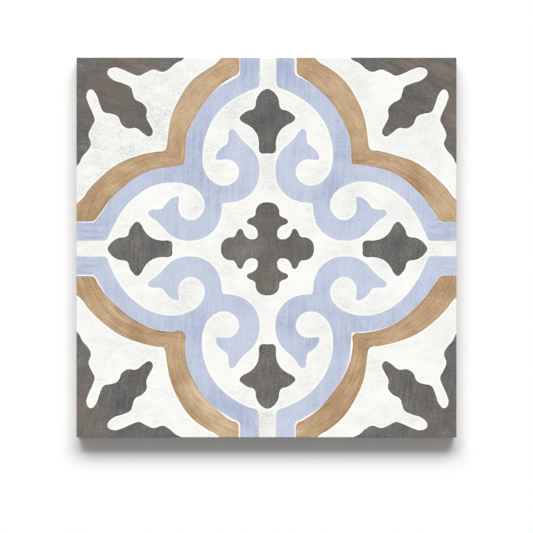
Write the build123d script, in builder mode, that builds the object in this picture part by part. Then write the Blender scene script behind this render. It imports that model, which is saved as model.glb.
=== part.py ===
"""Square porcelain floor and wall tile with a flat printed face and a keyed back.

The tile is dry-pressed in one piece, so it is one solid. It lies on its back: the crowns of the back's
ribs are at Z = 0, the printed face looks up along +Z, and the origin is under the tile's centre.
All sizes are in millimetres.
"""

import math
import os

from build123d import *

# Body
SIDE = 200.0  # across the upright part of the edges
THICKNESS = 9.0  # from the crowns of the back's ribs to the printed face

# Edges
ARRIS_RADIUS = 0.3  # rounding between the face and the edges
FACE_CORNER_RADIUS = 0.3  # left at the corners of the flat face, inside the arris
LEAN_HEIGHT = 3.5  # the lowest band of the edges leans in, so that the tile leaves the die
LEAN_SETBACK = 0.8  # how far that band has come in where it meets the back

# Keys: the shallow pockets in the back that the mortar grips
KEY_SIDE = 22.0  # across a pocket's mouth
KEY_DEPTH = 0.7
KEY_CORNER_RADIUS = 2.0
KEY_DRAFT_DEGREES = 30.0  # lean of a pocket's walls
RIB_WIDTH = 5.0  # between two pockets
LEAST_RIM = 5.0  # the plain border round the pockets is at least this wide

# Worked out from the sizes above
edge_corner_radius = FACE_CORNER_RADIUS + ARRIS_RADIUS
back_side = SIDE - 2 * LEAN_SETBACK
key_pitch = KEY_SIDE + RIB_WIDTH
keys_across = math.floor((back_side - 2 * LEAST_RIM + RIB_WIDTH) / key_pitch)

with BuildPart() as tile:
    # Leaning band, from the back out to the upright edges
    with BuildSketch(Plane.XY):
        RectangleRounded(back_side, back_side, edge_corner_radius)
    with BuildSketch(Plane.XY.offset(LEAN_HEIGHT)):
        RectangleRounded(SIDE, SIDE, edge_corner_radius)
    loft(ruled=True)

    # Upright edges, up to the face
    with BuildSketch(Plane.XY.offset(LEAN_HEIGHT)):
        RectangleRounded(SIDE, SIDE, edge_corner_radius)
    extrude(amount=THICKNESS - LEAN_HEIGHT)

    # Arris all round the face
    face = tile.faces().sort_by(Axis.Z)[-1]
    fillet(face.edges(), radius=ARRIS_RADIUS)

    # Keyed back: a grid of drafted pockets with ribs between them
    with BuildSketch(Plane.XY):
        with GridLocations(key_pitch, key_pitch, keys_across, keys_across):
            RectangleRounded(KEY_SIDE, KEY_SIDE, KEY_CORNER_RADIUS)
    extrude(amount=KEY_DEPTH, taper=KEY_DRAFT_DEGREES, mode=Mode.SUBTRACT)

tile.part.label = "tile"

os.makedirs("parts", exist_ok=True)
export_step(tile.part, "parts/tile.step")

print(f"tile: {keys_across} x {keys_across} keys, volume {tile.part.volume / 1000:.1f} cm3")
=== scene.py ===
# %% [markdown]
# # An encaustic-look porcelain tile
# The object is one square tile: porcelain clay pressed in a die, coated with matt glaze, painted with a
# traditional cement-tile ornament and fired once. This lesson loads the pressed body as a fixed frame, cuts
# its face along the painted outlines, gives every colour a brushed glaze and sets up a plain studio.

# %% Load the frame
import math

import bmesh
import bpy
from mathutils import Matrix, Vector, kdtree
from mathutils.geometry import delaunay_2d_cdt


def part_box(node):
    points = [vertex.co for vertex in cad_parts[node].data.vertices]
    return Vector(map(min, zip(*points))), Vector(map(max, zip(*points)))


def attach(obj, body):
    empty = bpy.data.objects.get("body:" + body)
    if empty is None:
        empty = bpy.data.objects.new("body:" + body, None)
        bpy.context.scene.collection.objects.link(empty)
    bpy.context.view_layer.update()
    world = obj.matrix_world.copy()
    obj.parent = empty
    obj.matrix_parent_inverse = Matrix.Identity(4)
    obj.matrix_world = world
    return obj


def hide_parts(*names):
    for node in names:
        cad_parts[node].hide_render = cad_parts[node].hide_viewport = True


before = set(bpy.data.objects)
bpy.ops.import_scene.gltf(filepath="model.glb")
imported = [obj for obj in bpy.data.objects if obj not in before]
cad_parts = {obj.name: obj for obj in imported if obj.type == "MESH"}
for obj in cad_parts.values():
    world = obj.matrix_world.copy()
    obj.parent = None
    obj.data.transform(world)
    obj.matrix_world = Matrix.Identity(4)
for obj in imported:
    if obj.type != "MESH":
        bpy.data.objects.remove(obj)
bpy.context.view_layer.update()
scene = bpy.context.scene

MM = 0.001
tile_low, tile_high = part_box("tile")
HALF_SIDE = (tile_high.x - tile_low.x) / 2 / MM
FACE_HEIGHT = tile_high.z / MM
print(f"tile {2 * HALF_SIDE:.1f} mm square, {FACE_HEIGHT:.1f} mm thick")

# %% [markdown]
# ## The edge of the face
# A pressed tile has no sharp rim: a small rounding, the arris, joins the face to the upright edges, and the
# glaze runs over it. Both roundings are read from the frame's own mesh, so the new face will fit the old
# edges exactly.

# %% Measure the arris and the corner rounding
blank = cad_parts["tile"].data
LEVEL = 0.001  # mm, closer than this counts as the same place
face_reach = max(v.co.x / MM for v in blank.vertices if v.co.z / MM > FACE_HEIGHT - LEVEL)
ARRIS = HALF_SIDE - face_reach
RIM_HEIGHT = FACE_HEIGHT - ARRIS
rim_reach = max(v.co.y / MM for v in blank.vertices if v.co.x / MM > HALF_SIDE - LEVEL)
CORNER = HALF_SIDE - rim_reach
print(f"arris {ARRIS:.2f} mm, corner rounding {CORNER:.2f} mm")


def depth_inside(x, y):
    """How far a point of the plan lies inside the rounded square of the upright edges, in mm."""
    core = HALF_SIDE - CORNER
    dx = x - max(-core, min(core, x))
    dy = y - max(-core, min(core, y))
    if dx or dy:
        return CORNER - math.hypot(dx, dy)
    return min(HALF_SIDE - abs(x), HALF_SIDE - abs(y))


def surface_height(x, y):
    """Height of the glazed surface over a point of the plan, in mm: flat, then down round the arris."""
    from_flat = max(0.0, ARRIS - depth_inside(x, y))
    return RIM_HEIGHT + math.sqrt(max(0.0, ARRIS ** 2 - from_flat ** 2))


# %% [markdown]
# ## Outlines of the ornament
# The ornament was drawn once in an eighth of the tile and mirrored, as a stencil cutter does it. Each
# outline is a short list of knots in millimetres from the tile's centre, with north up the picture.
# Blender's smooth curve handles round the line through the knots, and a knot marked SHARP keeps its corner.
# A shader could also draw such shapes, but outlines cut into the mesh stay crisp at any distance and go out
# with the model.

# %% Curves through knots
SHARP = "sharp"
STEPS = 6  # straight pieces between two knots
PAST_EDGE = HALF_SIDE + 4.0  # bands are drawn on past the tile's edge and trimmed there
PRINT_SHIFT = (0.5, -0.55)  # the print landed a little right of the tile's centre and a little low
STENCIL_SCALE = (0.995, 0.997)  # the stencils shrank a little, more in width than in height


def drawn(knots, closed=True):
    """Points along a smooth line through the knots."""
    curve = bpy.data.curves.new("outline", "CURVE")
    curve.resolution_u = STEPS
    spline = curve.splines.new("BEZIER")
    spline.bezier_points.add(len(knots) - 1)
    spline.use_cyclic_u = closed
    for point, knot in zip(spline.bezier_points, knots):
        point.co = (knot[0], knot[1], 0)
        handle = "VECTOR" if SHARP in knot else "AUTO"
        point.handle_left_type = handle
        point.handle_right_type = handle
    holder = bpy.data.objects.new("outline", curve)
    scene.collection.objects.link(holder)
    bpy.context.view_layer.update()
    line = bpy.data.meshes.new_from_object(holder)
    points = [(v.co.x + PRINT_SHIFT[0], v.co.y + PRINT_SHIFT[1]) for v in line.vertices]
    bpy.data.objects.remove(holder)
    bpy.data.curves.remove(curve)
    bpy.data.meshes.remove(line)
    return points


print(f"print shifted by {PRINT_SHIFT} mm, stencils scaled by {STENCIL_SCALE}")

# %% [markdown]
# The stencil cutter's eighth is mirrored seven times. A mirror modifier could do that, but named eighths
# let a later cell give each one its own small faults.

# %% The eight mirror images
EIGHTHS = {  # the first lies between north and the north-east diagonal
    "north_right": lambda x, y: (x, y),
    "right_north": lambda x, y: (y, x),
    "right_south": lambda x, y: (y, -x),
    "south_right": lambda x, y: (x, -y),
    "south_left": lambda x, y: (-x, -y),
    "left_south": lambda x, y: (-y, -x),
    "left_north": lambda x, y: (-y, x),
    "north_left": lambda x, y: (-x, y),
}
QUARTERS = {
    "north_east": ("north_right", "right_north"),
    "south_east": ("south_right", "right_south"),
    "south_west": ("south_left", "left_south"),
    "north_west": ("north_left", "left_north"),
}


def placed(knots, eighth):
    """The knots moved to one of the eighths, with their marks."""
    move = EIGHTHS[eighth]
    return [(*move(knot[0], knot[1]), *knot[2:]) for knot in knots]


def scaled(knots, drop=0.0):
    """The knots of a stencil as it really lay on the tile."""
    return [(x * STENCIL_SCALE[0], y * STENCIL_SCALE[1] - drop, *mark) for x, y, *mark in knots]


def joined(there, back):
    """A line drawn through one eighth and back through its neighbour, sharing knots on the mirror line."""
    seen = [knot for knot in back[::-1] if all(math.dist(knot[:2], other[:2]) > LEVEL for other in there)]
    return there + seen


print(len(EIGHTHS), "eighths in", len(QUARTERS), "quarters")

# %% [markdown]
# ## The dark motifs
# Charcoal fills three motifs: a cross with lobed arms in the middle, a bud towards each side and a leafy
# field in each corner. Only half of each is drawn, with a knot wherever the line turns, and the mirror
# gives the rest.

# %% Knots of the cross, the buds and the corners
CHARCOAL_DROP = 0.15  # the charcoal stencil lay this much lower than the others
SIDE_WIDTH = 0.973  # the buds and arms to the left and right are a little slimmer
CROSS = [
    (0, 24.6), (4.4, 23.3), (6.2, 20.3), (6.4, 18.0), (7.6, 16.8), (9.6, 16.0), (10.9, 14.4),
    (10.2, 13.2), (8.4, 12.5), (6.3, 11.1), (5.2, 8.8), (5.8, 5.8),
]
BUD_TIP = [(0, 84.4), (2.7, 83.3), (4.7, 81.2)]
SIDE_BUD_TIP = [(0, 84.5), (2.6, 83.2), (4.7, 81.0)]  # a little more pointed
BUD = [
    (6.0, 78.3), (6.4, 75.4), (7.4, 73.8), (10.2, 73.0),
    (13.0, 71.2), (14.7, 69.0), (13.2, 66.9), (10.4, 65.4), (7.6, 63.3), (5.5, 60.2), (4.5, 56.0),
    (4.4, 52.0), (3.5, 50.6), (0, 50.4),
]
FINGER_LEAN = 0.7  # white fingers along the top and bottom are wider by this, those along the sides slimmer


def corner_half(lean):
    """Knots of half a corner field, from the tile's corner along its edge and back to the leaf's tip."""
    return [
        (PAST_EDGE, PAST_EDGE, SHARP), (42.4, PAST_EDGE, SHARP), (44.4, 100.2), (48.6, 97.9), (52.4, 94.7),
        (55.3, 93.4), (60.3, 94.6), (64.6, 92.9), (67.8, 91.4), (71.5, 92.4), (77.0, 94.8), (81.4, 95.7),
        (84.35 + 0.35 * lean, 93.6), (82.2, 90.3 - lean), (76.0, 87.9 - lean), (72.3, 85.9 - lean),
        (71.3, 82.5), (70.0 + 0.2 * lean, 79.2), (65.75 + 0.6 * lean, 76.8), (63.7 + 0.2 * lean, 73.6),
        (63.9 + 0.2 * lean, 69.6), (61.3 + lean, 65.2), (60.0 + lean, 62.4), (60.8, 60.8),
    ]


def is_sideways(eighth):
    """Whether an eighth lies beside the left or right side of the tile."""
    return eighth.startswith(("right", "left"))


def slimmed(knots, eighth):
    """The knots of a bud or an arm of the cross, with the width it has in one eighth."""
    width = SIDE_WIDTH if is_sideways(eighth) else 1.0
    return [(x * width if x < y else x, y, *mark) for x, y, *mark in knots]


print(len(CROSS), "knots in an eighth of the cross,", len(BUD_TIP + BUD), "in half a bud")

# %% Draw the dark motifs
cross_knots = []
for index, eighth in enumerate(EIGHTHS):
    knots = scaled(placed(slimmed(CROSS, eighth), eighth), CHARCOAL_DROP)
    knots = knots if index % 2 == 0 else knots[::-1]
    cross_knots += [k for k in knots if all(math.dist(k[:2], o[:2]) > LEVEL for o in cross_knots)]
dark_shapes = [("charcoal", "cross", drawn(cross_knots))]
for side, halves in {
    "north": ("north_right", "north_left"),
    "right": ("right_north", "right_south"),
    "south": ("south_right", "south_left"),
    "left": ("left_north", "left_south"),
}.items():
    bud = (SIDE_BUD_TIP if is_sideways(halves[0]) else BUD_TIP) + BUD
    there, back = (scaled(placed(slimmed(bud, half), half), CHARCOAL_DROP) for half in halves)
    dark_shapes.append(("charcoal", f"bud_{side}", drawn(joined(there, back))))
for quarter, (first, second) in QUARTERS.items():
    there = scaled(placed(corner_half(FINGER_LEAN), first), CHARCOAL_DROP)
    back = scaled(placed(corner_half(-FINGER_LEAN), second), CHARCOAL_DROP)
    dark_shapes.append(("charcoal", f"corner_{quarter}", drawn(joined(there, back))))
print(len(dark_shapes), "dark motifs")

# %% [markdown]
# ## The bands of the quatrefoil
# A periwinkle band and an ochre band follow four lobes that make a quatrefoil. Their arcs are nearly
# circles about a point half-way out on each axis, so these knots are given by angle from the axis and by
# radius. The bands were brushed by hand along a stencil. The edges wander: in most places ochre meets blue,
# in some places a hair of white ground stays between them. So each eighth of the tile has its own radii and
# hairlines.

# %% Where the bands lie in each eighth
LOBE_CENTRE = 50.0
BLUE_KINK = 91.2  # where the band leaves the straight stub, from the tile's centre
NOTCH = 44.3  # inner corner on the diagonal
INNER_KINK = 85.4  # the same on the band's inner side
INNER_PLACES = (17, 36, 55, 73, 90)  # degrees on the lobe, inner edge of the blue
MEET_PLACES = (25, 38, 51, 64, 77, 89)  # degrees on the lobe, line between blue and ochre
RIM_PLACES = (29.5, 35, 46, 58, 70, 81)  # degrees on the lobe, outer edge of the ochre
LAP = -0.15  # the ochre laps this far over the blue
# inner, blue and rim: the end at the tile's edge, then radii. hair: white at the stub, the kink, the places
# and the notch.
BANDS = {
    "north_right": {
        "inner": (4.7, 34.9, 34.3, 34.4, 34.5, 34.7),
        "blue": (14.2, 43.4, 43.3, 43.3, 43.3, 43.9, 43.7),
        "hair": (1.2, 1.7, 0.6, LAP, LAP, LAP, 0.1, 0.15, 0.1),
        "rim": (22.4, 55.2, 55.4, 55.8, 55.0, 54.3, 53.4),
    },
    "right_north": {
        "inner": (4.1, 34.2, 33.9, 34.4, 35.1, 35.4),
        "blue": (13.9, 42.3, 42.1, 42.2, 43.0, 43.4, 43.7),
        "hair": (0.1, 0.4, 0.2, LAP, LAP, LAP, LAP, 0.1, 0.1),
        "rim": (22.6, 54.9, 54.5, 53.6, 53.3, 52.1, 52.1),
    },
    "right_south": {
        "inner": (4.1, 34.3, 33.7, 34.4, 35.3, 35.4),
        "blue": (13.8, 42.3, 42.1, 42.2, 42.8, 43.4, 43.8),
        "hair": (0.3, 0.5, 0.2, LAP, LAP, 0.1, 0.35, 0.6, 0.8),
        "rim": (22.5, 54.9, 54.5, 53.7, 53.2, 52.3, 52.0),
    },
    "south_right": {
        "inner": (4.5, 35.1, 34.5, 34.5, 34.6, 34.8),
        "blue": (14.3, 43.6, 43.4, 43.2, 43.2, 43.7, 43.8),
        "hair": (0.6, 1.6, 0.9, 0.4, LAP, 0.25, 0.7, 1.2, 1.0),
        "rim": (22.9, 55.4, 55.6, 55.5, 54.6, 54.0, 53.0),
    },
    "south_left": {
        "inner": (4.5, 35.2, 34.5, 34.6, 34.6, 34.7),
        "blue": (14.3, 43.6, 43.6, 43.6, 43.6, 43.9, 43.7),
        "hair": (0.9, 1.6, 1.2, 0.2, LAP, LAP, LAP, LAP, LAP),
        "rim": (22.2, 54.8, 55.2, 55.8, 55.2, 54.5, 53.8),
    },
    "left_south": {
        "inner": (4.2, 34.4, 34.0, 34.4, 35.2, 35.4),
        "blue": (13.8, 42.7, 42.3, 42.3, 42.8, 43.4, 43.6),
        "hair": (0.7, 1.0, 0.7, 0.2, LAP, LAP, 0.1, 0.1, LAP),
        "rim": (21.8, 54.7, 54.4, 53.5, 53.2, 52.5, 52.3),
    },
    "left_north": {
        "inner": (4.1, 33.9, 33.4, 33.8, 34.7, 34.8),
        "blue": (13.7, 42.0, 41.6, 41.6, 42.3, 42.9, 43.2),
        "hair": (0.5, 0.8, 0.5, 0.1, LAP, LAP, LAP, LAP, LAP),
        "rim": (20.8, 54.1, 53.9, 53.2, 52.9, 52.1, 51.6),
    },
    "north_left": {
        "inner": (4.1, 34.7, 34.1, 34.1, 34.0, 34.3),
        "blue": (14.3, 43.0, 43.2, 42.9, 42.9, 43.4, 43.4),
        "hair": (0.4, 1.5, 1.3, 0.3, LAP, LAP, 0.1, LAP, LAP),
        "rim": (21.7, 54.6, 54.5, 55.3, 54.6, 54.1, 53.1),
    },
}


def on_lobe(degrees, radius, *mark):
    """A knot on the north lobe, by angle from north and distance from the lobe's centre."""
    angle = math.radians(degrees)
    return (radius * math.sin(angle), LOBE_CENTRE + radius * math.cos(angle), *mark)


ochre_widths = [rim - blue for row in BANDS.values() for rim, blue in zip(row["rim"][1:], row["blue"][1:])]
print(f"the ochre is {min(ochre_widths):.1f} to {max(ochre_widths):.1f} mm wide on the lobes")

# %% [markdown]
# ## The blue bands and scrolls
# The blue band stands on the stub at the tile's edge, follows the lobe and splits at the diagonal into two
# scrolls with fish-tail tips.

# %% Blue quarters
# how a kink is rounded, in mm: where it starts above the kink, then its middle knot, across and up
INNER_ROUND = (2.2, 0.8, 0.1)
OUTER_ROUND = (2.0, 0.6, 0.3)
SIDE_EASE = 0.4  # the kinks at the left and right are rounded less
SCROLL = [
    (33.6, 42.0), (29.7, 36.0), (23.7, 33.2), (18.0, 34.9), (15.0, 39.8), (16.4, 44.5), (20.4, 47.0),
    (25.0, 46.9), (27.2, 47.1), (26.8, 50.0), (24.0, 53.4), (21.2, 55.4, SHARP), (20.6, 58.4), (20.5, 61.4),
    (19.1, 63.2), (17.2, 62.3), (14.8, 58.9), (11.4, 55.4), (7.6, 51.8), (4.9, 46.5), (4.2, 40.4),
    (5.8, 33.4), (10.6, 27.6), (16.6, 24.8), (21.0, 24.2), (22.9, 24.0), (23.65, 23.65),
]


def stub_knots(stub, kink, rounding, eighth):
    """Knots from the tile's edge down a straight stub and round its kink."""
    ease = SIDE_EASE if is_sideways(eighth) else 1.0
    start, across, up = (part * ease for part in rounding)
    return [(stub, PAST_EDGE, SHARP), (stub, kink + start, SHARP), (stub + across, kink + up)]


def blue_inner(eighth):
    """Knots of the blue band's inner edge in one eighth, from the tile's edge round the scroll."""
    stub, *radii = BANDS[eighth]["inner"]
    knots = stub_knots(stub, INNER_KINK, INNER_ROUND, eighth)
    knots += [on_lobe(degrees, radius) for degrees, radius in zip(INNER_PLACES, radii)]
    return placed(knots + SCROLL, eighth)


def blue_outer(eighth):
    """Knots of the blue band's outer edge in one eighth, from the tile's edge to the notch."""
    stub, *radii = BANDS[eighth]["blue"]
    knots = stub_knots(stub, BLUE_KINK, OUTER_ROUND, eighth)
    knots += [on_lobe(degrees, radius) for degrees, radius in zip(MEET_PLACES, radii)]
    return knots


blue_shapes = []
for quarter, (first, second) in QUARTERS.items():
    inner = scaled(joined(blue_inner(first), blue_inner(second)))
    notch = placed([(NOTCH, NOTCH, SHARP)], first)
    outer = placed(blue_outer(first), first) + notch + placed(blue_outer(second), second)[::-1]
    blue_shapes.append(("periwinkle", f"band_{quarter}", drawn(inner + outer[::-1])))
print(len(blue_shapes), "blue quarters")

# %% [markdown]
# ## The ochre bands
# The ochre band runs outside the blue and was brushed in after it. Its outer corner on the diagonal is
# rounded by the width of the brush.

# %% Ochre quarters
BLUNT_NOTCH = QUARTERS["south_west"] + QUARTERS["south_east"]  # here the brush rounded the inner corner too
OUTER_NOTCH = {
    "north_east": (53.4, 53.4), "south_east": (53.2, -53.2),
    "south_west": (-54.2, -53.0), "north_west": (-53.5, 52.4),
}
OCHRE_START = 2.6  # mm above the kink where its rounding starts
OCHRE_OUT = 0.1  # mm that the rounding's middle lies outside the hairline
OCHRE_UP = 0.3  # its height above the kink, as a share of the hairline
RIM_END = 84.8  # degrees on the lobe, last place of the outer edge


def ochre_edges(eighth):
    """Inner and outer knots of the ochre band in one eighth, from the tile's edge to the notch."""
    stub, *blue_radii = BANDS[eighth]["blue"]
    hair_stub, hair_kink, *hairs, hair_notch = BANDS[eighth]["hair"]
    end, *radii = BANDS[eighth]["rim"]
    inner = [(stub + hair_stub, PAST_EDGE, SHARP), (stub + hair_stub, BLUE_KINK + OCHRE_START, SHARP)]
    inner.append((stub + hair_kink + OCHRE_OUT, BLUE_KINK + OCHRE_UP * hair_kink))
    for degrees, radius, hair in zip(MEET_PLACES, blue_radii, hairs):
        inner.append(on_lobe(degrees, radius + hair))
    notch_mark = () if eighth in BLUNT_NOTCH else (SHARP,)
    inner.append((NOTCH + hair_notch, NOTCH + hair_notch, *notch_mark))
    outer = [(end, PAST_EDGE, SHARP)]
    outer += [on_lobe(degrees, radius) for degrees, radius in zip(RIM_PLACES, radii)]
    outer.append(on_lobe(RIM_END, radii[-1]))
    return inner, outer


ochre_shapes = []
for quarter, (first, second) in QUARTERS.items():
    inner_there, outer_there = (placed(edge, first) for edge in ochre_edges(first))
    inner_back, outer_back = (placed(edge, second) for edge in ochre_edges(second))
    knots = inner_there + inner_back[::-1][1:] + outer_back + [OUTER_NOTCH[quarter]] + outer_there[::-1]
    ochre_shapes.append(("ochre", f"band_{quarter}", drawn(knots)))
print(len(ochre_shapes), "ochre quarters")

# %% [markdown]
# ## Cutting the face along the outlines
# The new face is laid out flat first. The tile's own rim, three rings down the arris and all the painted
# outlines become fixed lines of one triangulation, and a loose grid of points fills the space between them.
# Blue goes on first, ochre over it, charcoal last. Each triangle keeps the number of the last shape that
# covers it, so the colours meet along the drawn lines.

# %% Rim and rings
SIDE_STEP = 4.0  # mm between points along a straight side
rim_points = {
    (round(v.co.x / MM, 4), round(v.co.y / MM, 4))
    for v in blank.vertices
    if abs(v.co.z / MM - RIM_HEIGHT) < LEVEL
}
rim_corners = sorted(rim_points, key=lambda p: math.atan2(p[1], p[0]))
rim = []
for here, there in zip(rim_corners, rim_corners[1:] + rim_corners[:1]):
    pieces = max(1, round(math.dist(here, there) / SIDE_STEP))
    for step in range(pieces):
        part = step / pieces
        rim.append((here[0] + (there[0] - here[0]) * part, here[1] + (there[1] - here[1]) * part))


def ring(inset):
    """The rim moved inwards along the plan by a distance in mm."""
    core = HALF_SIDE - CORNER
    points = []
    for x, y in rim:
        dx = x - max(-core, min(core, x))
        dy = y - max(-core, min(core, y))
        length = math.hypot(dx, dy)
        points.append((x - dx / length * inset, y - dy / length * inset))
    return points


ARRIS_TURNS = (30, 60, 90)  # degrees round the arris from the upright edge to the face
GUARD = 0.15  # a last ring on the flat keeps the arris shading off the face
insets = [ARRIS * (1 - math.cos(math.radians(turn))) for turn in ARRIS_TURNS] + [ARRIS + GUARD]
print(len(rim), "points on the rim,", len(insets), "rings")

# %% Points between the outlines
GRID = 2.0  # mm
CLEAR = 0.7  # mm kept free beside a line
shapes = blue_shapes + ochre_shapes + dark_shapes
outline_points = [p for _, _, points in shapes for p in points if depth_inside(*p) > -1]
outline_tree = kdtree.KDTree(len(outline_points))
for index, (x, y) in enumerate(outline_points):
    outline_tree.insert((x, y, 0), index)
outline_tree.balance()


def from_outline(x, y):
    """Distance from the nearest painted outline, in mm."""
    return outline_tree.find((x, y, 0))[2]


filling = []
half_count = int(HALF_SIDE / GRID)
for row in range(-half_count, half_count + 1):
    for column in range(-half_count, half_count + 1):
        x = column * GRID + (row % 2) * GRID / 2
        y = row * GRID
        if depth_inside(x, y) > ARRIS + 1 and from_outline(x, y) > 2 * CLEAR:
            filling.append((x, y))
taken = set()
for _, _, points in shapes:
    for before, here, after in zip(points[-1:] + points[:-1], points, points[1:] + points[:1]):
        across = Vector((before[1] - after[1], after[0] - before[0])).normalized()
        for side in (CLEAR, -CLEAR):
            x = here[0] + across.x * side
            y = here[1] + across.y * side
            cell = (round(x / CLEAR), round(y / CLEAR))
            if cell not in taken and depth_inside(x, y) > ARRIS + 0.5 and from_outline(x, y) > 0.9 * CLEAR:
                taken.add(cell)
                filling.append((x, y))
print(len(filling), "points between the lines")

# %% One triangulation
ALL_TRIANGLES = 0  # the kind of result: every triangle inside the hull
MERGE = 1e-5  # mm, points closer than this become one
plan_points = []
plan_edges = []
plan_faces = []


def turned_left(points):
    """The points of a ring in anticlockwise order."""
    area = sum(a[0] * b[1] - b[0] * a[1] for a, b in zip(points, points[1:] + points[:1]))
    return points if area > 0 else points[::-1]


for points in [rim] + [points for _, _, points in shapes]:
    first = len(plan_points)
    plan_points += turned_left(points)
    plan_faces.append(list(range(first, len(plan_points))))
for inset in insets:
    first = len(plan_points)
    plan_points += ring(inset)
    last = len(plan_points) - 1
    plan_edges += [(index, index + 1) for index in range(first, last)] + [(last, first)]
plan_points += filling
cut_points, _, cut_faces, _, _, cut_sources = delaunay_2d_cdt(
    [Vector(p) for p in plan_points], plan_edges, plan_faces, ALL_TRIANGLES, MERGE, True
)
print(len(cut_points), "points,", len(cut_faces), "triangles in the plan")

# %% [markdown]
# ## Strokes and pools
# A brush leaves streaks along its path, and wet glaze gathers in pools. Streaks need a direction, so each
# corner of the painted triangles gets a place along the stroke and a place across it, in millimetres. On
# the ochre the brush followed the lobe, on the blue it ran up and down, except in the stubs at the left and
# right edge. The pools are a short list of soft spots, each lighter or darker than the coat around it.

# %% Direction of the brush
DARK_STROKES = {  # degrees from the right, anticlockwise
    "cross": 90, "bud_north": 90, "bud_south": 88, "bud_left": 90, "bud_right": 92,
    "corner_north_east": -28, "corner_north_west": -12, "corner_south_east": 84, "corner_south_west": 80,
}
SEED_STEP = 17.0  # mm between the patterns of two motifs
BAND_MIDDLE = 48.0  # mm from the lobe's centre, where an angle is turned into a length along the ochre
STUB_START = 86.0  # mm from the tile's centre
STUB_REACH = 22.0  # mm to each side of the axis


def stroke_at(finish, motif, seed, centre, x, y):
    """Place along the brush stroke, across it, and a shift that makes each motif different."""
    if finish == "ochre":
        upright = abs(centre.y) > abs(centre.x)
        u, v = (x, abs(y)) if upright else (y, abs(x))
        v -= LOBE_CENTRE
        return Vector((math.atan2(u, v) * BAND_MIDDLE, math.hypot(u, v), seed + SEED_STEP * upright))
    if finish == "periwinkle":
        sideways = abs(centre.x) > STUB_START and abs(centre.y) < STUB_REACH
        return Vector((x, y, seed)) if sideways else Vector((y, x, seed))
    angle = math.radians(DARK_STROKES.get(motif, 90))
    along = x * math.cos(angle) + y * math.sin(angle)
    across = y * math.cos(angle) - x * math.sin(angle)
    return Vector((along, across, seed))


print(len(DARK_STROKES), "motifs with a stroke of their own")

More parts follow.
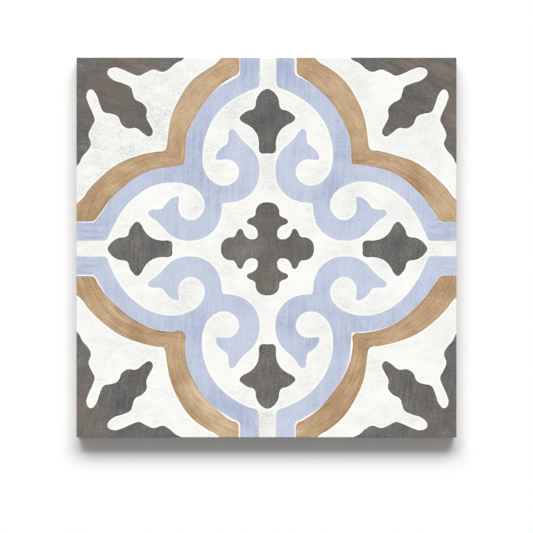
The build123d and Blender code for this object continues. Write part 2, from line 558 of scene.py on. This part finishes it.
# %% Pools of glaze
# finish, place and reach in mm, tone (below zero is darker), warmth (above zero is browner), and how much
# it streaks
POOLS = [
    ("ochre", -22, 95, 9, 0.06, 0, 0.3), ("ochre", -94, 20, 12, -0.26, 0, 0.4),
    ("ochre", -70, 40, 12, -0.08, 0, 0.5), ("ochre", -44, 76, 16, 0.16, 0, -0.3),
    ("ochre", -46, 56, 6, -0.10, 0, 0.3), ("ochre", 22, 96, 8, -0.12, 0, 0.2),
    ("ochre", 40, 80, 15, 0.06, 0, -0.4), ("ochre", 76, 34, 9, -0.22, 0, 0.6),
    ("ochre", 64, 49, 9, 0.08, 0, 0.0), ("ochre", 93, 22, 9, 0.10, 0, -0.2),
    ("ochre", 46, 46, 6, -0.16, 0, 0.3), ("ochre", -96, -20, 8, -0.08, 0, 0.8),
    ("ochre", -79, -34, 9, 0.02, 0, 1.4), ("ochre", -64, -46, 12, -0.14, 0, 1.2),
    ("ochre", -48, -50, 7, 0.05, 0, 0.6), ("ochre", -29, -83, 7, 0.44, 0, 0.8),
    ("ochre", -37, -73, 6, 0.34, 0, 0.8), ("ochre", -19, -93, 7, 0.24, 0, 0.6),
    ("ochre", -48, -70, 6, -0.26, 0, 1.0), ("ochre", -42, -86, 7, -0.22, 0, 0.8),
    ("ochre", 38, -86, 14, -0.27, 0, 0.1), ("ochre", 52, -49, 9, -0.18, 0, 0.3),
    ("ochre", 49, -64, 9, 0.00, 0, 0.7), ("ochre", 95, -19, 9, -0.18, 0, 0.1),
    ("ochre", 77, -38, 12, -0.06, 0, 0.2), ("ochre", 20, -96, 8, 0.08, 0, 0.2),
    ("periwinkle", 11, 94, 8, -0.30, 0, 1.0), ("periwinkle", -10, 95, 8, -0.24, 0, 0.8),
    ("periwinkle", 34, 30, 8, -0.30, 0, 0.9), ("periwinkle", 40, 50, 8, -0.20, 0, 0.4),
    ("periwinkle", -38, 54, 12, -0.22, 0, 0.8), ("periwinkle", -33, 32, 9, -0.20, 0, 0.8),
    ("periwinkle", -52, 40, 8, -0.16, 0, 0.8), ("periwinkle", -94, 9, 9, -0.18, 0, 1.2),
    ("periwinkle", 93, 11, 9, -0.12, 0, 1.4), ("periwinkle", -15, -86, 8, -0.30, 0, 0.4),
    ("periwinkle", -30, -80, 9, -0.22, 0, 0.6), ("periwinkle", 10, -94, 9, 0.14, 0, -0.4),
    ("periwinkle", 14, -38, 8, -0.22, 0, 1.2), ("periwinkle", 24, -50, 6, -0.22, 0, 1.0),
    ("periwinkle", -95, -9, 7, -0.08, 0, 1.0), ("periwinkle", -34, -42, 10, -0.26, 0, 0.4),
    ("periwinkle", 42, 12, 14, 0.02, 0, 0), ("periwinkle", 12, 46, 14, 0.10, 0, 0.4),
    ("periwinkle", -42, -14, 15, 0.12, 0, -0.2), ("periwinkle", -13, -46, 14, 0.12, 0, -0.2),
    ("periwinkle", 46, -12, 14, 0.08, 0, 0), ("periwinkle", -14, 46, 12, 0.08, 0, 0),
    ("periwinkle", 16, 88, 8, -0.14, 0, 0), ("periwinkle", 41, -40, 11, -0.18, 0, 0.2),
    ("periwinkle", 68, 31, 14, 0.12, 0, 0),
    ("charcoal", -9, 0, 8, 0.40, 0.2, 0.5), ("charcoal", 14, 0, 9, -0.08, 0.25, -0.7),
    ("charcoal", 0, -16, 8, 0.04, 0.55, 0.2), ("charcoal", 2, 6, 16, -0.12, 0.25, -0.5),
    ("charcoal", 0, 68, 16, -0.10, -0.3, -0.5), ("charcoal", 68, 0, 16, -0.06, -0.2, -0.2),
    ("charcoal", -68, 0, 16, -0.02, -0.2, 0.3), ("charcoal", 0, -66, 16, 0.04, 0.15, 0.3),
    ("charcoal", 78, 97, 5, 0.08, 0.6, 0.6), ("charcoal", 90, 94, 4.5, 0.10, 0.8, 0.6),
    ("charcoal", 98.5, 89, 4.5, 0.10, 0.8, 0.6), ("charcoal", 96.5, 78, 5, 0.02, 0.6, 0.6),
    ("charcoal", 97, 70, 5, 0.04, 0.6, 0.6), ("charcoal", 69, 98, 4, 0.04, 0.6, 0.3),
    ("charcoal", 82, 82, 18, -0.10, 0.15, 0.5), ("charcoal", -82, 84, 20, -0.04, 0.6, -0.4),
    ("charcoal", -72, 98.5, 5, 0.12, 0.5, 0.6), ("charcoal", -95, -94, 13, 0.05, 0.45, 0.2),
    ("charcoal", -98, -80, 8, 0.12, 0.6, 0), ("charcoal", -75, -82, 6, -0.32, -0.4, 0.4),
    ("charcoal", -68, -70, 9, -0.10, 0.1, 0.3), ("charcoal", 92, -96, 14, 0, 0.45, 0.2),
    ("charcoal", 85, -84, 4, -0.28, 0, 0), ("charcoal", 74, -78, 6, 0.14, 0, 0.6),
    ("charcoal", 66, -66, 8, 0.02, 0.1, 0.8), ("charcoal", 76, -69, 10, -0.13, 0, 0),
    ("charcoal", -66, 68, 13, -0.09, 0.1, 0), ("charcoal", -58, 97, 7, 0.18, 0.3, 0),
    ("charcoal", -97, 67, 9, -0.13, 0, 0), ("charcoal", 70, 68, 12, -0.10, 0.1, 0),
    ("charcoal", 97, 56, 8, 0.03, 0.4, 0), ("charcoal", -98, -60, 11, 0.17, 0.2, 0),
    ("charcoal", -82, 0, 6, 0.17, 0, 0), ("charcoal", 0, -82, 6, 0.17, 0, 0),
    ("charcoal", 4, 17, 8, -0.11, 0, 0),
    ("ground", -60, 66, 17, -0.22, 0, 0.9), ("ground", -30, 46, 16, -0.06, 0, 0.6),
    ("ground", -78, 40, 16, -0.04, 0, 0.6), ("ground", 24, 80, 18, -0.04, 0, 0.2),
    ("ground", -56, -60, 40, 0.09, 0, 0.2), ("ground", 76, -56, 10, 0.14, 0, 0),
    ("ground", 40, -30, 18, -0.12, 0, 0.4), ("ground", 60, 60, 40, 0.02, 0, -0.3),
    ("ground", 0, -4, 26, 0.07, 0, 0), ("ground", 72, 26, 16, 0.14, 0, -0.2),
    ("ground", 74, -24, 18, 0.12, 0, -0.2), ("ground", -62, 24, 14, 0.12, 0, 0),
    ("ground", 0, 88, 12, -0.10, 0, 0), ("ground", 1, 48, 18, -0.10, 0, 0),
    ("ground", -87, 58, 14, -0.15, 0, 0.3), ("ground", 40, 95, 9, -0.13, 0, 0),
    ("ground", -44, 0, 10, -0.14, 0, 0), ("ground", 38, 2, 9, -0.16, 0, 0),
    ("ground", -70, -15, 9, -0.17, 0, 0), ("ground", 94, -43, 9, -0.15, 0, 0),
    ("ground", -82, -66, 11, 0.13, 0, 0), ("ground", -23, -65, 12, 0.13, 0, 0),
    ("ground", 62, -78, 17, 0.12, 0, 0), ("ground", 0, -90, 10, -0.13, 0, 0),
]


def pooled(finish, x, y):
    """Tone, warmth and streaking that the pools add at a place."""
    total = Vector((0, 0, 0))
    for pool_finish, px, py, reach, *amounts in POOLS:
        if pool_finish == finish:
            total += Vector(amounts) * math.exp(-((x - px) ** 2 + (y - py) ** 2) / reach ** 2)
    return total


print(len(POOLS), "pools")

# %% [markdown]
# ## The glazed tile
# Pressing gave the body its edges and its keyed back, and those stay as the frame has them. The old face
# comes off above the rim and the cut face takes its place, point for point on the rim, so the tile stays
# one closed body. A hand-painted texture could show the same picture, but the outlines would blur up close.

# %% Take off the old face
FINISHES = ["ground", "periwinkle", "ochre", "charcoal", "biscuit"]
body = bmesh.new()
body.from_mesh(blank)
bmesh.ops.remove_doubles(body, verts=body.verts, dist=LEVEL * MM)
STROKE = body.loops.layers.float_vector.new("stroke")
POOL = body.loops.layers.float_vector.new("pool")
DEPTH = body.verts.layers.float.new("depth")
UVS = body.loops.layers.uv.new("OFBake")
old_face = [f for f in body.faces if all(v.co.z / MM > RIM_HEIGHT - LEVEL for v in f.verts)]
bmesh.ops.delete(body, geom=old_face, context="FACES")
for face in body.faces:
    face.material_index = FINISHES.index("biscuit")
print(len(old_face), "old faces off,", len(body.faces), "kept")

# %% Match the rim
new_rim = [(p.x, p.y) for p in cut_points if abs(depth_inside(p.x, p.y)) < LEVEL]
for edge in [e for e in body.edges if e.is_boundary]:
    start, end = edge.verts
    run = Vector((end.co.x - start.co.x, end.co.y - start.co.y)) / MM
    between = []
    for x, y in new_rim:
        offset = Vector((x - start.co.x / MM, y - start.co.y / MM))
        part = offset.dot(run) / run.length_squared
        if abs(run.cross(offset)) < LEVEL * run.length and LEVEL < part * run.length < run.length - LEVEL:
            between.append((part, x, y))
    for part, x, y in sorted(between):
        rest = body.edges.get((start, end))
        _, added = bmesh.utils.edge_split(rest, start, 0.5)
        added.co = (x * MM, y * MM, RIM_HEIGHT * MM)
        start = added
rim_verts = [v for v in body.verts if v.is_boundary]
rim_tree = kdtree.KDTree(len(rim_verts))
for index, vert in enumerate(rim_verts):
    rim_tree.insert(vert.co, index)
rim_tree.balance()
print(len(new_rim), "rim points in the plan,", len(rim_verts), "on the body")

# %% Set the new face
DEPTH_REACH = 5.0  # mm, the distance from an outline is kept up to here
new_verts = {}


def vert_at(index):
    """The body's point for a point of the plan: an old one on the rim, a new one elsewhere."""
    if index not in new_verts:
        x, y = cut_points[index]
        if depth_inside(x, y) < LEVEL:
            vert = rim_verts[rim_tree.find(Vector((x, y, RIM_HEIGHT)) * MM)[1]]
        else:
            vert = body.verts.new(Vector((x, y, surface_height(x, y))) * MM)
        vert[DEPTH] = min(from_outline(x, y), DEPTH_REACH)
        new_verts[index] = vert
    return new_verts[index]


counts = dict.fromkeys(FINISHES, 0)
for corners, sources in zip(cut_faces, cut_sources):
    if 0 not in sources:
        continue
    top = max(sources)
    finish, motif, _ = shapes[top - 1] if top else ("ground", "ground", None)
    face = body.faces.new([vert_at(index) for index in corners])
    face.material_index = FINISHES.index(finish)
    centre = face.calc_center_median() / MM
    for loop in face.loops:
        x, y = loop.vert.co.x / MM, loop.vert.co.y / MM
        loop[STROKE] = stroke_at(finish, motif, top * SEED_STEP, centre, x, y)
        loop[POOL] = pooled(finish, x, y)
    counts[finish] += 1
bmesh.ops.triangulate(body, faces=[f for f in body.faces if len(f.verts) > 3])
bmesh.ops.recalc_face_normals(body, faces=body.faces)
open_edges = sum(not e.is_manifold for e in body.edges)
print(counts, len(body.faces), "triangles,", open_edges, "open edges")

# %% [markdown]
# ## A flat map of the tile
# When the colours are baked to a picture, the face should get most of it. The map gives the face one large
# square, the back a small square and each upright edge a strip, like the parts of a box cut open.

# %% Lay out the map
FACE_SHARE = 0.72
BACK_SHARE = 0.25
STRIP_WIDTH = 0.05
GUTTER = 0.01
FACING_DOWN = -0.7  # the upright part of a face's normal
LEANING_DOWN = -0.3
KEY_HEIGHT = 1.0 + LEVEL  # mm, the keys of the back lie below this


def on_map(face, vert):
    """Where a point of a face goes on the map, both ways from 0 to 1."""
    u = (vert.co.x / MM / HALF_SIDE + 1) / 2
    v = (vert.co.y / MM / HALF_SIDE + 1) / 2
    if face.material_index != FINISHES.index("biscuit"):
        return (GUTTER + u * FACE_SHARE, GUTTER + v * FACE_SHARE)
    in_key = face.calc_center_median().z / MM < KEY_HEIGHT and face.normal.z < LEANING_DOWN
    if face.normal.z < FACING_DOWN or in_key:
        return (GUTTER + u * BACK_SHARE, FACE_SHARE + 2 * GUTTER + v * BACK_SHARE)
    sideways = abs(face.normal.x) > abs(face.normal.y)
    strip = (0 if face.normal.x > 0 else 1) if sideways else (2 if face.normal.y > 0 else 3)
    along = v if sideways else u
    left = FACE_SHARE + 3 * GUTTER + strip * (STRIP_WIDTH + GUTTER)
    return (left + vert.co.z / MM / FACE_HEIGHT * STRIP_WIDTH, GUTTER + along * (1 - 2 * GUTTER))


for face in body.faces:
    for loop in face.loops:
        loop[UVS].uv = on_map(face, loop.vert)
print(f"the face takes {FACE_SHARE ** 2:.0%} of the map")

# %% Make the object
SHARP_FROM = 40.0  # degrees between two faces
glazed_mesh = bpy.data.meshes.new("glazed_tile")
body.to_mesh(glazed_mesh)
body.free()
if "custom_normal" in glazed_mesh.attributes:
    glazed_mesh.attributes.remove(glazed_mesh.attributes["custom_normal"])
glazed_mesh.shade_smooth()
glazed_mesh.set_sharp_from_angle(angle=math.radians(SHARP_FROM))
glazed_tile = bpy.data.objects.new("glazed_tile", glazed_mesh)
scene.collection.objects.link(glazed_tile)
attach(glazed_tile, "root")
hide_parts("tile")
print(glazed_tile.name, len(glazed_mesh.polygons), "triangles")

# %% [markdown]
# ## Tools for the finishes
# Colours are written as they look on screen and turned to linear light by one function. One small function
# adds a node, sets it and links it. The patterns hang on a grid in millimetres, so a scale is one over a
# real size.

# %% Colour and node helpers
MATH = "ShaderNodeMath"
NOISE = "ShaderNodeTexNoise"
GLASS_IOR = 1.5  # glaze and fired porcelain are mostly glass


def linear(code):
    """A screen colour written as six hex digits, as linear light."""
    levels = [int(code[place:place + 2], 16) / 255 for place in (0, 2, 4)]
    return (*(c / 12.92 if c <= 0.04045 else ((c + 0.055) / 1.055) ** 2.4 for c in levels), 1.0)


def add(tree, kind, inputs=None, stops=None, **settings):
    """One node with its settings, its inputs as numbers or links, and the stops of a colour ramp."""
    node = tree.nodes.new(kind)
    for key, value in settings.items():
        setattr(node, key, value)
    for socket, value in (inputs or {}).items():
        if isinstance(value, bpy.types.NodeSocket):
            tree.links.new(value, node.inputs[socket])
        else:
            node.inputs[socket].default_value = value
    for index, (place, code) in enumerate(stops or []):
        ramp = node.color_ramp.elements
        stop = ramp[index] if index < 2 else ramp.new(place)
        stop.position = place
        stop.color = linear(code)
    return node


def started(name):
    """A new material with its node tree, its shader and a grid in millimetres to hang patterns on."""
    material = bpy.data.materials.new(name)
    material.use_nodes = True
    tree = material.node_tree
    shader = tree.nodes["Principled BSDF"]
    shader.inputs["IOR"].default_value = GLASS_IOR
    place = add(tree, "ShaderNodeTexCoord").outputs["Object"]
    grid = add(tree, "ShaderNodeVectorMath", {0: place, "Scale": 1 / MM}, operation="SCALE").outputs[0]
    return material, tree, shader, grid


def summed(tree, start, parts):
    """A start value plus each pattern's swing about its middle times its gain."""
    total = start
    for pattern, gain in parts:
        swing = add(tree, MATH, {0: pattern, 1: 0.5}, operation="SUBTRACT").outputs[0]
        total = add(tree, MATH, {0: swing, 1: gain, 2: total}, operation="MULTIPLY_ADD").outputs[0]
    return total


print(f"screen grey 808080 is {linear('808080')[0]:.3f} in linear light")

# %% [markdown]
# ## The matt surface
# A matt glaze cools into a glass full of tiny crystals. They scatter the light, so the eye sees a soft, dry
# sheen with no mirror image. Real crystals are far finer than a pixel, so their grain is drawn coarser here
# to show.

# %% Crystals and sheen
SOFT = {"Detail": 2.0, "Roughness": 0.55}
FINE = {"Detail": 3.0, "Roughness": 0.55}
CRYSTAL = 0.6  # mm
SHEEN_PATCH = 9.0  # mm
CRYSTAL_HEIGHT = 0.03  # mm
CRYSTAL_STRENGTH = 0.25


def matt_surface(tree, shader, grid, roughness, swing):
    """The dry touch of a matt glaze: fine crystals that scatter light and a surface like an eggshell."""
    grain = add(tree, NOISE, {**FINE, "Vector": grid, "Scale": 1 / CRYSTAL}).outputs["Fac"]
    cloud = add(tree, NOISE, {**SOFT, "Vector": grid, "Scale": 1 / SHEEN_PATCH}).outputs["Fac"]
    rough = summed(tree, roughness, [(grain, swing), (cloud, swing)])
    tree.links.new(rough, shader.inputs["Roughness"])
    relief = {"Strength": CRYSTAL_STRENGTH, "Distance": CRYSTAL_HEIGHT * MM, "Height": grain}
    bump = add(tree, "ShaderNodeBump", relief)
    tree.links.new(bump.outputs[0], shader.inputs["Normal"])


print(f"crystals {CRYSTAL} mm wide and {CRYSTAL_HEIGHT} mm high")

# %% [markdown]
# ## White ground glaze, sprayed
# The ground coat is a tin-white matt glaze sprayed on the clay. Spraying leaves it even, so the eye sees a
# soft white with fine sand in it and faint grey clouds where the coat is thin. Beside a painted outline it
# lies a little thicker and whiter. A picture of a real coat would do, but noise in the right sizes never
# repeats.

# %% Ground glaze
CLOUD = 16.0  # mm
MOTTLE = 2.6  # mm
SAND = 1.0  # mm
SPRAY_PULL = (0.45, 1, 1)  # the mottle is longer sideways, the way the spray gun went
HALO = 1.4  # mm beside an outline
HALO_TONE = 0.80
OPEN_TONE = 0.46
white_matt_glaze_sprayed, tree, shader, grid = started("white_matt_glaze_sprayed")
clouds = add(tree, NOISE, {**SOFT, "Vector": grid, "Scale": 1 / CLOUD}).outputs["Fac"]
pulled = add(tree, "ShaderNodeVectorMath", {0: grid, 1: SPRAY_PULL}, operation="MULTIPLY").outputs[0]
mottle = add(tree, NOISE, {**FINE, "Vector": pulled, "Scale": 1 / MOTTLE}).outputs["Fac"]
sand = add(tree, NOISE, {**FINE, "Vector": grid, "Scale": 1 / SAND}).outputs["Fac"]
pool = add(tree, "ShaderNodeAttribute", attribute_name="pool").outputs["Vector"]
pool = add(tree, "ShaderNodeSeparateXYZ", {0: pool}).outputs
coarse = add(tree, MATH, {0: pool[2], 1: 0.6, 2: 0.6}, operation="MULTIPLY_ADD").outputs[0]
gritty = add(tree, MATH, {0: pool[2], 1: 0.8, 2: 1.1}, operation="MULTIPLY_ADD").outputs[0]
tone = summed(tree, pool[0], [(clouds, 0.9), (mottle, coarse), (sand, gritty)])
depth = add(tree, "ShaderNodeAttribute", attribute_name="depth").outputs["Fac"]
halo = add(tree, "ShaderNodeMapRange", {0: depth, 1: 0.0, 2: HALO, 3: HALO_TONE, 4: OPEN_TONE}).outputs[0]
tone = add(tree, MATH, {0: tone, 1: halo}, operation="ADD").outputs[0]
coat_stops = [(0.0, "D2D2CF"), (0.3, "ECECE8"), (0.55, "F6F6F2"), (0.9, "FCFCF9")]
coat = add(tree, "ShaderNodeValToRGB", {"Fac": tone}, coat_stops).outputs[0]
print(f"clouds {CLOUD} mm, mottle {MOTTLE} mm, sand {SAND} mm")

# %% [markdown]
# A few grains of iron in the clay melt through the white and leave grey specks. Each cell of a cell pattern
# holds one point, and a share of the cells shows it as a speck.

# %% Iron specks
SPECK_SPACING = 11.0  # mm
SPECK_CORE = 0.02  # parts of the spacing, where a speck begins to fade
SPECK_EDGE = 0.05  # and where it ends
SPECK_STRENGTH = 0.5
BARE_CELLS = 0.62  # share of the cells without a speck
cells = add(tree, "ShaderNodeTexVoronoi", {"Vector": grid, "Scale": 1 / SPECK_SPACING}).outputs
fade = {0: cells["Distance"], 1: SPECK_CORE, 2: SPECK_EDGE, 3: SPECK_STRENGTH, 4: 0.0}
dot = add(tree, "ShaderNodeMapRange", fade).outputs[0]
some = add(tree, MATH, {0: cells["Color"], 1: BARE_CELLS}, operation="GREATER_THAN").outputs[0]
speck = add(tree, MATH, {0: dot, 1: some}, operation="MULTIPLY").outputs[0]
specked = add(tree, "ShaderNodeMix", {0: speck, 6: coat, 7: linear("A8A59F")}, data_type="RGBA").outputs[2]
tree.links.new(specked, shader.inputs["Base Color"])
matt_surface(tree, shader, grid, 0.62, 0.25)
print(white_matt_glaze_sprayed.name, len(tree.nodes), "nodes")

# %% [markdown]
# ## Brushed colour glazes
# The three colours are stained matt glazes put on with a flat brush. The brush drags long streaks, its
# bristles leave finer lines in them, and the coat is uneven over wider patches. One recipe serves all three
# with its own colours and streak sizes.

# %% Brushed glaze recipe
PATCH = 9.0  # mm
COLOUR_GRAIN = 1.0  # mm
BRISTLE_SHARE = 0.4  # width of a bristle line, as a part of the streak
RIM_REACH = 1.0  # mm, where the glaze drew back from the outline and dried thicker


def brushed_glaze(name, tones, warm, streak, gains, rim):
    """A brushed coat: tones from thick to thin, a warmer stain, streak size in mm, gains and a darker rim."""
    material, tree, shader, grid = started(name)
    stroke = add(tree, "ShaderNodeAttribute", attribute_name="stroke").outputs["Vector"]
    pool = add(tree, "ShaderNodeAttribute", attribute_name="pool").outputs["Vector"]
    pool = add(tree, "ShaderNodeSeparateXYZ", {0: pool}).outputs
    depth = add(tree, "ShaderNodeAttribute", attribute_name="depth").outputs["Fac"]
    length, width = streak
    pull = {0: stroke, 1: (width / length, 1, 1)}
    pulled = add(tree, "ShaderNodeVectorMath", pull, operation="MULTIPLY").outputs[0]
    streaks = add(tree, NOISE, {**FINE, "Vector": pulled, "Scale": 1 / width}).outputs["Fac"]
    bristle = width * BRISTLE_SHARE
    bristles = add(tree, NOISE, {**FINE, "Vector": pulled, "Scale": 1 / bristle}).outputs["Fac"]
    patches = add(tree, NOISE, {**FINE, "Vector": grid, "Scale": 1 / PATCH, "Detail": 4.0}).outputs["Fac"]
    grain = add(tree, NOISE, {**FINE, "Vector": grid, "Scale": 1 / COLOUR_GRAIN}).outputs["Fac"]
    streak_gain, bristle_gain, patch_gain, grain_gain = gains
    comb = {0: pool[2], 1: streak_gain, 2: streak_gain}
    combed = add(tree, MATH, comb, operation="MULTIPLY_ADD").outputs[0]
    parts = [(streaks, combed), (bristles, bristle_gain), (patches, patch_gain), (grain, grain_gain)]
    tone = summed(tree, 0.5, parts)
    tone = add(tree, MATH, {0: tone, 1: pool[0]}, operation="ADD").outputs[0]
    edge = add(tree, "ShaderNodeMapRange", {0: depth, 1: 0.0, 2: RIM_REACH, 3: -rim, 4: 0.0}).outputs[0]
    tone = add(tree, MATH, {0: tone, 1: edge}, operation="ADD").outputs[0]
    stops = list(zip((0.0, 0.5, 1.0), tones))
    coat = add(tree, "ShaderNodeValToRGB", {"Fac": tone}, stops).outputs[0]
    warmth = {0: streaks, 1: pool[1]}
    share = add(tree, MATH, warmth, operation="MULTIPLY", use_clamp=True).outputs[0]
    stained = add(tree, "ShaderNodeMix", {0: share, 6: coat, 7: linear(warm)}, data_type="RGBA").outputs[2]
    tree.links.new(stained, shader.inputs["Base Color"])
    matt_surface(tree, shader, grid, 0.6, 0.25)
    print(name, len(tree.nodes), "nodes, streaks", length, "by", width, "mm")
    return material


# %% [markdown]
# Periwinkle is a pale cobalt stain. The coat is thin, so the eye sees every stroke as a faint change of
# blue.

# %% Periwinkle
periwinkle_glaze_brushed = brushed_glaze(
    "periwinkle_glaze_brushed",
    tones=("98A6C4", "BFC7DB", "D6DAEB"),
    warm="C9C6DC",
    streak=(16.0, 1.3),
    gains=(0.5, 0.4, 0.7, 0.85),
    rim=0.0,
)

# %% [markdown]
# Ochre is an iron stain in a thicker coat. It gives long streaks like the grain of wood and a darker line
# where it dried along the outline.

# %% Ochre
ochre_glaze_brushed = brushed_glaze(
    "ochre_glaze_brushed",
    tones=("926F48", "BA9B78", "DCC4A3"),
    warm="A87C50",
    streak=(16.0, 1.5),
    gains=(0.6, 0.5, 0.7, 0.85),
    rim=0.20,
)

# %% [markdown]
# Charcoal is a thick coat of iron and manganese. Its strokes are faint, its rim is darker, and where the
# iron rules the eye sees brown.

# %% Charcoal
charcoal_glaze_brushed = brushed_glaze(
    "charcoal_glaze_brushed",
    tones=("3C3B3A", "5D5B59", "7E7A75"),
    warm="7C6752",
    streak=(14.0, 1.5),
    gains=(0.7, 0.5, 1.1, 1.4),
    rim=0.16,
)

# %% [markdown]
# ## Fired porcelain biscuit
# The edges and the back are bare clay, fired hard and dull. Fine dark grains from the milled clay show in
# it, and the rib crowns carry a chalky wash that keeps the tile from sticking to the kiln rollers. The wash
# is mixed in by height, because only the crowns touch the rollers. The grains are drawn coarser than real
# ones to show.

# %% Biscuit
CLAY_CLOUD = 18.0  # mm
CLAY_GRAIN = 0.5  # mm
WASH_FULL = 0.02  # mm above the crowns
WASH_END = 0.2  # mm above the crowns
WASH_STRENGTH = 0.8
porcelain_biscuit_pressed, tree, shader, grid = started("porcelain_biscuit_pressed")
clouds = add(tree, NOISE, {**SOFT, "Vector": grid, "Scale": 1 / CLAY_CLOUD}).outputs["Fac"]
grains = add(tree, NOISE, {**FINE, "Vector": grid, "Scale": 1 / CLAY_GRAIN}).outputs["Fac"]
tone = summed(tree, 0.5, [(clouds, 0.6), (grains, 1.0)])
clay_stops = [(0.1, "9C9890"), (0.5, "B3AFA7"), (0.9, "C5C1BA")]
clay = add(tree, "ShaderNodeValToRGB", {"Fac": tone}, clay_stops).outputs[0]
height = add(tree, "ShaderNodeSeparateXYZ", {0: grid}).outputs[2]
rise = {0: height, 1: WASH_FULL, 2: WASH_END, 3: WASH_STRENGTH, 4: 0.0}
crown = add(tree, "ShaderNodeMapRange", rise).outputs[0]
patchy = add(tree, MATH, {0: crown, 1: clouds}, operation="MULTIPLY").outputs[0]
washed = add(tree, "ShaderNodeMix", {0: patchy, 6: clay, 7: linear("E4E1DA")}, data_type="RGBA").outputs[2]
tree.links.new(washed, shader.inputs["Base Color"])
matt_surface(tree, shader, grid, 0.75, 0.3)
print(porcelain_biscuit_pressed.name, len(tree.nodes), "nodes")

# %% Put the finishes on
for material in (
    white_matt_glaze_sprayed,
    periwinkle_glaze_brushed,
    ochre_glaze_brushed,
    charcoal_glaze_brushed,
    porcelain_biscuit_pressed,
):
    glazed_mesh.materials.append(material)
print([m.name for m in glazed_mesh.materials])

# %% [markdown]
# ## The table
# The tile lies on a sheet of white paper. Paper scatters light evenly, so a plain diffuse shader is enough.

# %% Table
TABLE_HALF = 3.0
TABLE_CLEAR = 0.02 * MM  # the tile stands on a few grains of kiln wash
table_mesh = bpy.data.meshes.new("table")
table_mesh.from_pydata(
    [(x * TABLE_HALF, y * TABLE_HALF, -TABLE_CLEAR) for x, y in ((-1, -1), (1, -1), (1, 1), (-1, 1))],
    [],
    [(0, 1, 2, 3)],
)
table = bpy.data.objects.new("table", table_mesh)
scene.collection.objects.link(table)
table_white = bpy.data.materials.new("table_white_paper")
table_white.use_nodes = True
paper = table_white.node_tree
paper.nodes.remove(paper.nodes["Principled BSDF"])
sheet = add(paper, "ShaderNodeBsdfDiffuse", {"Color": linear("FFFFFF")})
paper.links.new(sheet.outputs[0], paper.nodes["Material Output"].inputs["Surface"])
table_mesh.materials.append(table_white)
print(f"table {2 * TABLE_HALF} m wide")

# %% [markdown]
# ## The room
# The camera and the mirror-like rays see a plain white room. For all other rays the room is dim, so that it
# only fills the shadow.

# %% White room
ROOM_LEVEL = 0.25
room = bpy.data.worlds.new("white_room")
scene.world = room
room.use_nodes = True
tree = room.node_tree
rays = add(tree, "ShaderNodeLightPath").outputs
seen = rays["Is Camera Ray"]
for kind in ("Is Glossy Ray", "Is Transmission Ray"):
    seen = add(tree, MATH, {0: seen, 1: rays[kind]}, operation="MAXIMUM").outputs[0]
level = add(tree, "ShaderNodeMapRange", {0: seen, 3: ROOM_LEVEL, 4: 1.0}).outputs[0]
tree.links.new(level, tree.nodes["Background"].inputs["Strength"])
tree.nodes["Background"].inputs["Color"].default_value = linear("FFFFFF")
print("room level", ROOM_LEVEL)

# %% [markdown]
# ## The lamps
# Six wide lamps stand in a row behind the tile's top edge, so a soft shadow falls below the bottom edge and
# a faint one at each side. One long lamp would do the same, but sun lamps light every place alike. The
# lamps and the room together light a level surface at one, so the colours come out as written.

# %% Lamps
LAMP_HEIGHT_ANGLE = 36.0
LAMP_WIDTH_ANGLE = 29.0
LAMP_STRENGTH = 0.673
LAMP_TURNS = (28.0, 20.0, 8.0, -8.0, -20.0, -28.0)
for number, turn in enumerate(LAMP_TURNS):
    name = f"lamp_{number}"
    lamp = bpy.data.lights.new(name, "SUN")
    lamp.energy = LAMP_STRENGTH
    lamp.angle = math.radians(LAMP_WIDTH_ANGLE)
    holder = bpy.data.objects.new(name, lamp)
    holder.rotation_euler = (math.radians(LAMP_HEIGHT_ANGLE - 90), 0, math.radians(turn))
    scene.collection.objects.link(holder)
print(len(LAMP_TURNS), "lamps", LAMP_HEIGHT_ANGLE, "degrees above the table")

# %% [markdown]
# ## The camera
# The photo looks straight down with a long lens. Its frame is 280.5 mm wide at the face, and the tile's
# centre sits 10 mm above the middle.

# %% Camera
FRAME_WIDTH = 280.5
BELOW_CENTRE = 10.0
LENS = 300.0
SENSOR = 36.0
lens = bpy.data.cameras.new("camera")
lens.lens = LENS
lens.sensor_width = SENSOR
camera = bpy.data.objects.new("camera", lens)
camera.location = Vector((0, -BELOW_CENTRE, FACE_HEIGHT + FRAME_WIDTH * LENS / SENSOR)) * MM
scene.collection.objects.link(camera)
scene.camera = camera
scene.view_settings.view_transform = "Standard"
print(f"camera {camera.location.z:.2f} m above the table")
